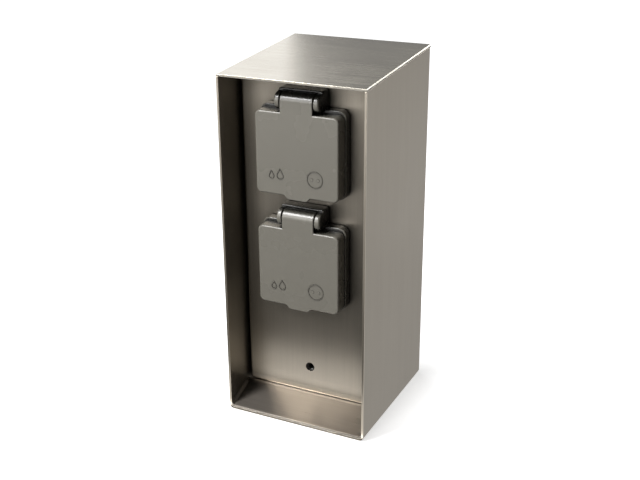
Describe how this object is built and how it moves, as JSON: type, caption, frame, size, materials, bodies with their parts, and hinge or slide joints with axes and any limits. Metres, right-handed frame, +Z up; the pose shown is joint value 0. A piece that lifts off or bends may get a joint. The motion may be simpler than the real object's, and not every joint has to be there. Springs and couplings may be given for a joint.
{
  "type": "garden socket column",
  "caption": "Free-standing outdoor socket column: brushed steel casing open at the front, sloping roof, set-back panel with splash-proof sockets under hinged lids.",
  "frame": {"origin": "centre of the casing's underside", "axes": "+Z up, +X to the right of someone facing the sockets, -Y out of the open front"},
  "size_m": [0.1, 0.104, 0.24],
  "materials": {
    "casing_steel": "brushed upwards",
    "roof_steel": "brushed across",
    "bracket_steel": "plain rolled",
    "fastener_steel": "turned",
    "spring_steel": "drawn wire",
    "grey_plastic": "fine moulded grain",
    "pale_plastic": "smooth moulded",
    "rubber": "soft matt",
    "brass": "turned",
    "live_insulation": "smooth",
    "neutral_insulation": "smooth",
    "earth_insulation": "smooth, striped"
  },
  "bodies": {
    "column": {"casing": "casing_steel", "roof_plate": "roof_steel", "sill": "casing_steel", "front_panel": "casing_steel", "panel_ledge": "bracket_steel", "fixing_bracket": "bracket_steel", "fixing_nut": "fastener_steel", "cable_grommet": "rubber", "terminal_bracket": "bracket_steel", "bracket_screws": "fastener_steel", "terminal_housing": "pale_plastic", "terminal_clamps": "brass", "terminal_screws": "fastener_steel", "earth_stud": "brass", "earth_nut": "brass", "earth_lug": "brass", "bonding_wire": "earth_insulation", "live_wire": "live_insulation", "neutral_wire": "neutral_insulation", "earth_wire": "earth_insulation", "upper_socket_body": "grey_plastic", "upper_recess_plate": "grey_plastic", "upper_gasket": "rubber", "upper_hinge_pin": "fastener_steel", "upper_contact_carrier": "pale_plastic", "upper_contact_sleeves": "brass", "upper_earth_clips": "brass", "upper_clamp_screws": "fastener_steel", "upper_rear_cover": "grey_plastic", "upper_cover_screws": "fastener_steel", "upper_fixing_screws": "fastener_steel", "upper_fixing_nuts": "fastener_steel", "lower_socket_body": "grey_plastic", "lower_recess_plate": "grey_plastic", "lower_gasket": "rubber", "lower_hinge_pin": "fastener_steel", "lower_contact_carrier": "pale_plastic", "lower_contact_sleeves": "brass", "lower_earth_clips": "brass", "lower_clamp_screws": "fastener_steel", "lower_rear_cover": "grey_plastic", "lower_cover_screws": "fastener_steel", "lower_fixing_screws": "fastener_steel", "lower_fixing_nuts": "fastener_steel"},
    "upper_lid_body": {"upper_lid": "grey_plastic", "upper_lid_seal": "rubber", "upper_lid_spring": "spring_steel"},
    "lower_lid_body": {"lower_lid": "grey_plastic", "lower_lid_seal": "rubber", "lower_lid_spring": "spring_steel"}
  },
  "joints": [
    {"name": "upper_lid_hinge", "type": "hinge", "parent": "column", "child": "upper_lid_body", "pos_m": [0, -0.038, 0.21695], "axis": [-1, 0, 0], "range_deg": [0, 100], "stiffness_Nm_per_rad": 0.02, "springref_deg": -28.65},
    {"name": "lower_lid_hinge", "type": "hinge", "parent": "column", "child": "lower_lid_body", "pos_m": [0, -0.038, 0.14195], "axis": [-1, 0, 0], "range_deg": [0, 100], "stiffness_Nm_per_rad": 0.02, "springref_deg": -28.65}
  ]
}
